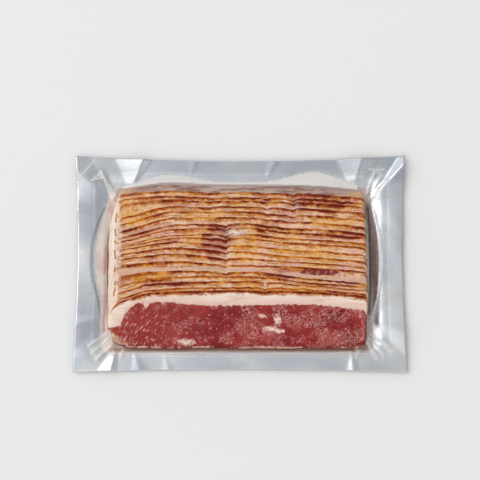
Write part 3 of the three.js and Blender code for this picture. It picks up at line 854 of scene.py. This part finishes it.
def cut_face_bacon():
    material, tree, output = new_material("cut face bacon")
    calc = calculator(tree)

    def blobs_at(spots, edge_noise):
        total = 0.0
        for spot in spots:
            dx = calc("DIVIDE", calc("SUBTRACT", where[0], spot["at"][0] * MM), spot["half"][0] * MM)
            dy = calc("DIVIDE", calc("SUBTRACT", where[1], spot["at"][1] * MM), spot["half"][1] * MM)
            far = calc("SQRT", calc("MULTIPLY_ADD", dx, dx, calc("MULTIPLY", dy, dy)))
            total = calc("MAXIMUM", between(tree, calc("ADD", far, edge_noise), 0.6, 1.2, 1.0, 0.0), total)
        return total

    place = object_place(tree)
    where = node(tree, "ShaderNodeSeparateXYZ", {0: place}).outputs
    depth = attribute(tree, "depth")
    wander = calc("SUBTRACT", noise(tree, place, 60, 3, 0.6), 0.5)
    fray = calc("SUBTRACT", noise(tree, place, 420, 3, 0.65), 0.5)

    # Distance into the lean from its upper and left boundaries
    span = LEAN_UPPER[-1][0] - LEAN_UPPER[0][0]
    highest, lowest = LEAN_UPPER_RANGE
    curve = node(tree, "ShaderNodeFloatCurve")
    points = curve.mapping.curves[0].points
    while len(points) < len(LEAN_UPPER):
        points.new(0.5, 0.5)
    for point, (x, y) in zip(points, LEAN_UPPER):
        point.location = ((x - LEAN_UPPER[0][0]) / span, (y - lowest) / (highest - lowest))
    curve.mapping.update()
    along = calc("DIVIDE", calc("SUBTRACT", where[0], LEAN_UPPER[0][0] * MM), span * MM)
    tree.links.new(along, curve.inputs["Value"])
    boundary = calc("MULTIPLY_ADD", curve.outputs[0], (highest - lowest) * MM, lowest * MM)
    from_upper = calc("SUBTRACT", boundary, where[1])
    left = between(tree, where[1], -53.5 * MM, -49.5 * MM, LEAN_LEFT_LOW * MM, LEAN_LEFT * MM)
    from_left = calc("SUBTRACT", where[0], left)
    inward = calc("MINIMUM", from_upper, from_left)
    inward = calc("MULTIPLY_ADD", wander, 2.0 * MM, inward)
    inward = calc("MULTIPLY_ADD", fray, 4.5 * MM, inward)
    lean_mask = between(tree, inward, -0.4 * MM, 0.5 * MM)

    # Lean: dark red, lighter and darker by muscle bundle
    bundles = noise(tree, place, 48, 3, 0.6)
    grain = noise(tree, place, 800, 3, 0.7)
    lean = mixed(tree, between(tree, bundles, 0.36, 0.62), colour("#7A1B1D"), colour("#9C3434"))
    lean = mixed(tree, between(tree, where[0], -60 * MM, -20 * MM, 0.6, 0.0), lean, colour("#A23E3C"))
    lean = mixed(tree, between(tree, grain, 0.50, 0.66, 0, 0.5), lean, colour("#B0504B"))
    lean = mixed(tree, between(tree, grain, 0.36, 0.48, 0.45, 0.0), lean, colour("#641213"))

    # Marbling: slanted hairs of fat at the left, crooked threads and flecks at the right, few between
    slanted = node(tree, "ShaderNodeMapping", {
        "Vector": place, "Rotation": (0, 0, math.radians(58)), "Scale": (7, 1, 1),
    }, vector_type="TEXTURE")
    streaks = between(tree, noise(tree, slanted.outputs[0], 640, 1, 0.5, 0.25), 0.60, 0.66)
    at_left = between(tree, where[0], -74 * MM, -52 * MM, 1.0, 0.0)
    below_edge = between(tree, where[1], -38 * MM, -44 * MM)
    streaks = calc("MULTIPLY", streaks, calc("MULTIPLY", at_left, below_edge))
    curled = noise(tree, place, 210, 2, 0.55, 2.4)
    threads = between(tree, calc("ABSOLUTE", calc("SUBTRACT", curled, 0.5)), 0.01, 0.045, 1.0, 0.0)
    more_at_right = between(tree, where[0], -45 * MM, 35 * MM, -0.05, 0.07)
    scattered = calc("ADD", noise(tree, place, 70, 2), more_at_right)
    threads = calc("MULTIPLY", threads, between(tree, scattered, 0.47, 0.58))
    flecks = between(tree, noise(tree, place, 560, 1, 0.5, 0.8), 0.67, 0.73)
    marbling = calc("MAXIMUM", calc("MULTIPLY", threads, 0.9), calc("MULTIPLY", flecks, 0.85))
    marbling = calc("MAXIMUM", calc("MULTIPLY", streaks, 0.9), marbling)
    lean = mixed(tree, calc("MULTIPLY", marbling, 0.85), lean, colour("#E0A79C"))
    ragged = calc("MULTIPLY_ADD", wander, 1.5, calc("MULTIPLY", fray, 2.4))
    mottled = between(tree, noise(tree, place, 500, 2), 0.4, 0.62)
    blob = mixed(tree, mottled, colour("#EED6C9"), colour("#D9A598"))
    lean = mixed(tree, blobs_at(SEAM_FAT, ragged), lean, blob)

    # Fat cap, rosier next to the lean, stained by the smoke along its upper edge
    fat = mixed(tree, between(tree, inward, -9 * MM, 0.0), colour("#F5E4D3"), colour("#E8C6B8"))
    veins = noise(tree, object_place(tree, (0.35, 1.6, 1)), 160, 3, 0.6)
    fat = mixed(tree, between(tree, veins, 0.45, 0.7, 0, 0.6), fat, colour("#DDB5A2"))
    near_edge = between(tree, depth, 0.0, 4.5 * MM, 1.0, 0.0)
    stain = calc("MULTIPLY", near_edge, between(tree, where[0], -96 * MM, -60 * MM, 1, 0.25))
    fat = mixed(tree, calc("MULTIPLY", stain, 0.55), fat, colour("#DDA766"))
    own = node(tree, "ShaderNodeCombineXYZ", {0: where[0], 2: calc("MULTIPLY", depth, 1.4)}).outputs[0]
    fat = smoke_line(tree, fat, own, depth, 0.25, 0.0)
    tuck = calc("SUBTRACT", where[0], -75.4 * MM)
    tuck = calc("MULTIPLY_ADD", calc("SUBTRACT", where[1], -33 * MM), -0.35, tuck)
    tuck = between(tree, calc("ABSOLUTE", tuck), 0.15 * MM, 0.7 * MM, 0.55, 0.0)
    fat = mixed(tree, tuck, fat, colour("#C08A4C"))
    surface = mixed(tree, lean_mask, fat, lean)

    # Lower left corner: tan fat that runs down to the edge, with brown spots
    slope = calc("MULTIPLY", calc("SUBTRACT", where[0], -103 * MM), 0.65)
    slope = calc("MULTIPLY_ADD", calc("SUBTRACT", where[1], -54 * MM), 0.76, slope)
    slope = calc("MULTIPLY_ADD", ragged, 3.2 * MM, slope)
    mottled = between(tree, noise(tree, place, 300, 3, 0.6), 0.42, 0.6)
    browned = between(tree, noise(tree, place, 210, 3, 0.6), 0.55, 0.62, 0.0, 0.7)
    tan = mixed(tree, mottled, colour("#E6C8AF"), colour("#C08A68"))
    tan = mixed(tree, browned, tan, colour("#A8502E"))
    surface = mixed(tree, between(tree, slope, 0.4 * MM, 2.6 * MM, 0.92, 0.0), surface, tan)
    surface = mixed(tree, calc("MULTIPLY", blobs_at(BROWN_SPOTS, ragged), 0.85), surface, colour("#A8441A"))

    # Lower edge: painted shade towards it, a thin broken seam of fat, then dark rind; and up the right end of
    # the lean, a dark line of painted shade for the slice's side
    open_low = attribute(tree, "low")
    seam = calc("MULTIPLY_ADD", wander, 5.0 * MM, calc("MULTIPLY_ADD", fray, 4.0 * MM, open_low))
    low_shade = between(tree, calc("MULTIPLY_ADD", fray, 9 * MM, open_low), 0.5 * MM, 5 * MM, 0.6, 0.0)
    surface = mixed(tree, low_shade, surface, colour("#5E1A18"))
    gaps = between(tree, noise(tree, object_place(tree, (1, 0.1, 1)), 75, 3, 0.7), 0.47, 0.55)
    seam = calc("MULTIPLY", between(tree, seam, 1.4 * MM, 2.4 * MM, 0.85, 0.0), gaps)
    surface = mixed(tree, seam, surface, colour("#D8AE98"))
    rind = calc("MULTIPLY_ADD", fray, 1.6 * MM, open_low)
    surface = mixed(tree, between(tree, rind, 0.4 * MM, 0.9 * MM, 1.0, 0.0), surface, colour("#74362A"))
    # Painted shade: a dark line up the right end of the lean, for the slice's shaded side
    at_right = calc("MULTIPLY", between(tree, where[0], 97.4 * MM, 98.8 * MM), lean_mask)
    surface = mixed(tree, calc("MULTIPLY", at_right, 0.7), surface, colour("#5A1814"))

    bump_height = calc("MULTIPLY_ADD", marbling, 0.3, noise(tree, place, 420, 3, 0.6))
    bump = node(tree, "ShaderNodeBump", {"Strength": 0.3, "Distance": 0.25 * MM, "Height": bump_height})
    shader = node(tree, "ShaderNodeBsdfPrincipled", {
        "Base Color": surface, "Roughness": 0.4, "Specular IOR Level": 0.06, "Normal": bump.outputs[0],
    })
    tree.links.new(shader.outputs[0], output.inputs["Surface"])
    return material


make_slice(0, cut_face_bacon(), FRONT_GRID, FRONT_WAVINESS)

# Clear front film: drawn down by the vacuum over the pile, bridging from its sides to the foil, and
# gathered into a standing fold at each corner, which the seal stops short.
FILM_THICKNESS = 0.08 * MM
FILM_CELL = 1.15 * MM
FILM_OVER_FOIL = 0.15 * MM
FILM_OVER_SLICES = 0.08 * MM
FILM_BEFORE_SOFTENING = 0.15 * MM
SOFTENED_TIMES = 4
SHOULDER_DROP = 0.2 * MM
# Places round each point of the film, in cells, at which the film has to clear the slices
AROUND = tuple((off_x, off_y) for off_x in (0, -0.5, 0.5) for off_y in (0, -0.5, 0.5))
# From where up the film is off the slices at the pile's upper end, and where that begins higher
UPPER_BRIDGE = {"from": 62.8 * MM, "higher": 3 * MM, "at": -60 * MM, "half": 25 * MM}
# Painted glints and whitened spots on the film: small wrinkles and bubbles where the film has let go of the
# meat, streaks along the pile's ends, and a band of painted light below its lower edge
FILM_SPOTS = (
    {"at": (-3.4, 22.4), "half": (7.0, 2.8), "whiteness_and_glint": 0.85},
    {"at": (-3.5, 27.0), "half": (2.2, 1.4), "whiteness_and_glint": 0.3},
    {"at": (19.5, -19.2), "half": (0.9, 2.4), "whiteness_and_glint": 0.75},
    {"at": (22.0, 41.0), "half": (1.2, 4.0), "whiteness_and_glint": 0.3},
    {"at": (45.6, 43.5), "half": (1.2, 4.0), "whiteness_and_glint": 0.35},
    {"at": (-39.6, 42.6), "half": (3.6, 2.0), "whiteness_and_glint": 0.5},
    {"at": (-86.4, 45.1), "half": (1.2, 1.8), "whiteness_and_glint": 0.4},
    {"at": (-89, 41), "half": (1.0, 2.4), "whiteness_and_glint": 0.4},
    {"at": (-87.3, -16.8), "half": (3.2, 0.9), "whiteness_and_glint": 0.5},
    {"at": (-91, -22.5), "half": (2.2, 0.9), "whiteness_and_glint": 0.5},
    {"at": (82.0, 37.0), "half": (6, 1.4), "whiteness_and_glint": 0.5},
    {"at": (-99.3, 20), "half": (0.7, 34), "whiteness_and_glint": 0.6},
    {"at": (-94.0, 8), "half": (1.4, 26), "whiteness_and_glint": 0.75},
    {"at": (-105, -50), "half": (0.9, 9), "whiteness_and_glint": 0.6},
    {"at": (99.8, 2.0), "half": (0.7, 46.0), "whiteness_and_glint": 0.5},
    {"at": (104.5, -50), "half": (0.9, 7), "whiteness_and_glint": 0.5},
    {"at": (-107, 46.5), "half": (2.6, 2.2), "whiteness_and_glint": 0.45},
    {"at": (-44, -71.6), "half": (34, 0.8), "whiteness_and_glint": 0.4},
    {"at": (36, -72.0), "half": (30, 0.9), "whiteness_and_glint": 0.45},
    {"at": (86, -71.4), "half": (10, 1.0), "whiteness_and_glint": 0.4},
    {"at": (-92, -71.8), "half": (8, 1.6), "whiteness_and_glint": 0.5},
)
# Where each fold is stopped by the seal
CROSSBARS = (
    ((-111.2, 73.6), (-118.8, 66.4)), ((103.2, 75.6), (115.2, 75.6)), ((108.8, 74.4), (118.6, 67.2)),
    ((-119.8, -65.8), (-113.2, -77.1)), ((119.2, -67.4), (110.4, -77.1)), ((-116.8, 83), (-129.4, 67.4)),
)


def pile_top(v):
    wall = UPPER_EDGES[BUNCHED_FROM - 1]
    level = np.interp(v, PILE_KNOTS, PILE_LEVELS)
    front = np.interp(np.minimum(v, wall), UPPER_EDGES, np.arange(SLICE_COUNT))
    return LAYER * (level - front + 1)


def pile_surface(x, y):
    """Highest that the slices reach near each point, and 0 where there is no slice."""
    points, faces = [], []
    for number in range(SLICE_COUNT):
        mesh = bpy.data.objects[f"bacon_slice_{number + 1:02d}"].data
        first = len(points)
        points += [vertex.co.copy() for vertex in mesh.vertices]
        faces += [[first + k for k in face.vertices] for face in mesh.polygons]
    pile = BVHTree.FromPolygons(points, faces)
    heights = np.zeros(x.shape)
    down = Vector((0, 0, -1))
    for place in np.ndindex(x.shape):
        for off_x, off_y in AROUND:
            above = Vector((x[place] + off_x * FILM_CELL, y[place] + off_y * FILM_CELL, 50 * MM))
            hit = pile.ray_cast(above, down)[0]
            heights[place] = max(heights[place], hit.z if hit else 0)
    return heights


def softened(values, times):
    """Each value averaged with its neighbours, that many times."""
    for _ in range(times):
        wide = np.pad(values, 1, mode="edge")
        values = (wide[:-2, 1:-1] + wide[2:, 1:-1] + wide[1:-1, :-2] + wide[1:-1, 2:] + 4 * values) / 8
    return values


def film_height(x, y):
    """Stretched over the pile's edges, and down to the foil beyond them."""
    rim = foil_height(x, y) + FOIL_THICKNESS + FILM_OVER_FOIL
    inside = inside_pile(x, y)[1]
    share = np.maximum(1 - pile_distance(x, y), 0)
    shoulder = FIRST_BASE + pile_top(inside) - SHOULDER_DROP
    tent = rim + (shoulder - rim) * share ** 2
    slices = pile_surface(x, y)
    stretched = np.maximum(tent, slices + FILM_BEFORE_SOFTENING)
    stretched = np.maximum(softened(stretched, SOFTENED_TIMES), slices + FILM_OVER_SLICES)
    return np.maximum(stretched, rim + (1 - FOIL_SHARE_OF_FOLD) * folds_height(x, y))


def inside_outline(corners, x, y):
    """1 inside a convex outline, falling to 0 within a millimetre beyond it."""
    within = np.ones_like(x)
    for k, corner in enumerate(corners):
        across_x = corners[(k + 1) % len(corners)][0] - corner[0]
        across_y = corners[(k + 1) % len(corners)][1] - corner[1]
        length = math.hypot(across_x, across_y)
        side = ((y / MM - corner[1]) * across_x - (x / MM - corner[0]) * across_y) / length
        within = np.minimum(within, smooth(side + 1))
    return within


def film_whiteness_and_glint(x, y, flat_x, flat_y):
    """How white the film is, as whitening and painted highlight: where it is creased, folded, sealed or has
    parted from the meat.
    """
    distance = pile_distance(x, y)
    v = inside_pile(x, y)[0]
    beyond = (distance - 1) * 6 * MM
    at_right = smooth((x - 96 * MM) / (6 * MM))
    # Painted highlight along the line where the film meets the foil, and whitened film with painted
    # reflection over the bridges
    arc = 0.3 * (1 - at_right) * np.exp(-((beyond / (0.9 * MM)) ** 2))
    arc = arc * (0.75 - 0.25 * soft_waves(x, y, 5, 40 * MM))
    band = smooth((distance - 0.67) / 0.05) * (1 - smooth((distance - 0.80) / 0.06))
    arc = np.maximum(arc, 0.95 * at_right * band * smooth((52 * MM - np.abs(y)) / (10 * MM)))
    bulge = np.exp(-(((x - UPPER_BRIDGE["at"]) / UPPER_BRIDGE["half"]) ** 2))
    held_to = UPPER_BRIDGE["from"] + UPPER_BRIDGE["higher"] * bulge
    upper_bridge = 0.72 * smooth((v - held_to) / (1.2 * MM)) * (distance < 1) * (np.abs(x) < 94 * MM)
    left_bridge = 0.3 * smooth((-106.5 * MM - x) / (2 * MM)) * (distance < 1)
    seal = 0.12 * np.exp(-(((rim_distance(flat_x, flat_y) - SEAL_WIDTH) / SEAL_EDGE) ** 2))
    whiteness_and_glint = np.maximum.reduce([arc, upper_bridge, left_bridge, seal])
    for fold in CORNER_FOLDS:
        for rib in fold["ribs"]:
            share, across = along_rib(rib, x, y)
            on_rib = smooth(share / 0.1) * (1 - smooth((share - 0.99) / 0.05))
            whiteness_and_glint = np.maximum(whiteness_and_glint, 0.8 * on_rib * np.exp(-((across / (0.65 * MM)) ** 2)))
        whiteness_and_glint = np.maximum(whiteness_and_glint, fold["whiteness_and_glint"] * inside_outline(fold["outline"], x, y))
    for crossbar in CROSSBARS:
        share, across = along_rib(crossbar, x, y)
        on_bar = (share > -0.04) & (share < 1.04)
        whiteness_and_glint = np.maximum(whiteness_and_glint, 0.7 * on_bar * np.exp(-((across / (0.7 * MM)) ** 2)))
    for spot in FILM_SPOTS:
        off_x = (x - spot["at"][0] * MM) / (spot["half"][0] * MM)
        off_y = (y - spot["at"][1] * MM) / (spot["half"][1] * MM)
        whiteness_and_glint = np.maximum(whiteness_and_glint, spot["whiteness_and_glint"] * np.exp(-(off_x ** 2) - off_y ** 2))
    return np.clip(whiteness_and_glint, 0, 1)


def clear_film():
    material, tree, output = new_material("clear film")
    calc = calculator(tree)
    place = object_place(tree)
    crinkle = noise(tree, place, 150, 3, 0.55, 0.5)
    bump = node(tree, "ShaderNodeBump", {"Strength": 0.25, "Distance": 0.4 * MM, "Height": crinkle})
    through = node(tree, "ShaderNodeBsdfTransparent", {"Color": (0.99, 0.99, 0.99, 1)})
    gloss = node(tree, "ShaderNodeBsdfGlossy", {
        "Color": (1, 1, 1, 1), "Roughness": 0.09, "Normal": bump.outputs[0],
    })
    facing = node(tree, "ShaderNodeLayerWeight", {"Blend": 0.5, "Normal": bump.outputs[0]}).outputs["Facing"]
    grazing = calc("POWER", facing, 5.0)
    clear = node(tree, "ShaderNodeMixShader", {0: calc("MULTIPLY_ADD", grazing, 0.35, 0.003)})
    tree.links.new(through.outputs[0], clear.inputs[1])
    tree.links.new(gloss.outputs[0], clear.inputs[2])
    axes = node(tree, "ShaderNodeSeparateXYZ", {0: place}).outputs
    on_pile = between(tree, calc("ABSOLUTE", axes[0]), 97 * MM, 101 * MM, 1.0, 0.0)
    on_pile = calc("MULTIPLY", on_pile, between(tree, axes[1], 55 * MM, 58 * MM, 1.0, 0.0))
    white = mixed(tree, on_pile, colour("#F2F1EE"), colour("#FBE9DA"))
    # White mixed into the film: whitening and painted highlight
    milky_and_glinting = node(tree, "ShaderNodeBsdfPrincipled", {
        "Base Color": white, "Roughness": 0.3, "Normal": bump.outputs[0],
    })
    flaws = between(tree, noise(tree, place, 380, 3, 0.6), 0.40, 0.60, 0.7, 0.0)
    kept = calc("SUBTRACT", 1.0, calc("MULTIPLY", flaws, on_pile))
    patchy = calc("MULTIPLY", attribute(tree, "whiteness_and_glint"), kept)
    whole = node(tree, "ShaderNodeMixShader", {0: patchy})
    tree.links.new(clear.outputs[0], whole.inputs[1])
    tree.links.new(milky_and_glinting.outputs[0], whole.inputs[2])
    tree.links.new(whole.outputs[0], output.inputs["Surface"])
    return material


def make_film():
    flat_x, flat_y = web_grid(FILM_CELL)
    x, y = drawn_in(flat_x, flat_y)
    under = film_height(x, y)
    mesh = web_mesh("clear front film", x, y, under, under + FILM_THICKNESS)
    whiteness_and_glint = film_whiteness_and_glint(x, y, flat_x, flat_y)
    set_values(mesh, "whiteness_and_glint", np.concatenate([np.zeros_like(whiteness_and_glint), whiteness_and_glint]))
    add_piece("clear_front_film", mesh, clear_film(), "film", "clear_film")


make_film()

# Plain pale floor, soft studio light and the camera, which looks down on the pack
FLOOR_SIZE = 6.0


def make_floor():
    mesh = bpy.data.meshes.new("floor")
    half = FLOOR_SIZE / 2
    corners = [(-half, -half, 0), (half, -half, 0), (half, half, 0), (-half, half, 0)]
    mesh.from_pydata(corners, [], [(0, 1, 2, 3)])
    material, tree, output = new_material("pale floor")
    shader = node(tree, "ShaderNodeBsdfPrincipled", {"Base Color": colour("#E9E9E9"), "Roughness": 0.9})
    tree.links.new(shader.outputs[0], output.inputs["Surface"])
    mesh.materials.append(material)
    floor = bpy.data.objects.new("floor", mesh)
    bpy.context.scene.collection.objects.link(floor)


def add_light(name, place, size, power):
    data = bpy.data.lights.new(name, "AREA")
    data.shape = "RECTANGLE"
    data.size, data.size_y = size
    data.energy = power
    light = bpy.data.objects.new(name, data)
    light.location = place
    towards = -light.location
    light.rotation_euler = towards.to_track_quat("-Z", "Y").to_euler()
    bpy.context.scene.collection.objects.link(light)


def light_studio():
    world = bpy.data.worlds.new("studio")
    world.use_nodes = True
    tree = world.node_tree
    # Bright wall and two soft panels on the left, a dimmer ceiling, and a darker right side
    direction = node(tree, "ShaderNodeTexCoord").outputs["Generated"]
    axes = node(tree, "ShaderNodeSeparateXYZ", {0: direction}).outputs
    strength = between(tree, axes[0], 0.45, -0.55, 0.44, 1.0)
    strength = compute(tree, "ADD", between(tree, axes[2], 0.97, 0.80, 0.0, 0.12), strength)
    for panel in ((-0.46, 0.34, 0.82), (-0.36, -0.46, 0.81)):
        facing = node(tree, "ShaderNodeVectorMath", {0: direction, 1: panel}, operation="DOT_PRODUCT")
        turn = facing.outputs["Value"]
        strength = compute(tree, "ADD", between(tree, turn, 0.94, 0.985, 0.0, 0.9), strength)
    tree.links.new(strength, tree.nodes["Background"].inputs["Strength"])
    tree.nodes["Background"].inputs["Color"].default_value = (1, 1, 1, 1)
    bpy.context.scene.world = world
    add_light("key light", (-1.1, 0.5, 1.3), (1.0, 1.0), 4)
    add_light("fill light", (1.2, -0.9, 1.2), (0.8, 0.8), 1)
    bpy.context.scene.view_settings.view_transform = "Standard"


def aim_camera():
    target_y = 18.8 * MM
    elevation = math.radians(83)
    distance = 1.0
    data = bpy.data.cameras.new("camera")
    data.sensor_width = 36
    data.lens = 93.75
    camera = bpy.data.objects.new("camera", data)
    camera.location = (0, target_y - distance * math.cos(elevation), distance * math.sin(elevation))
    camera.rotation_euler = (math.pi / 2 - elevation, 0, 0)
    bpy.context.scene.collection.objects.link(camera)
    bpy.context.scene.camera = camera


make_floor()
light_studio()
aim_camera()
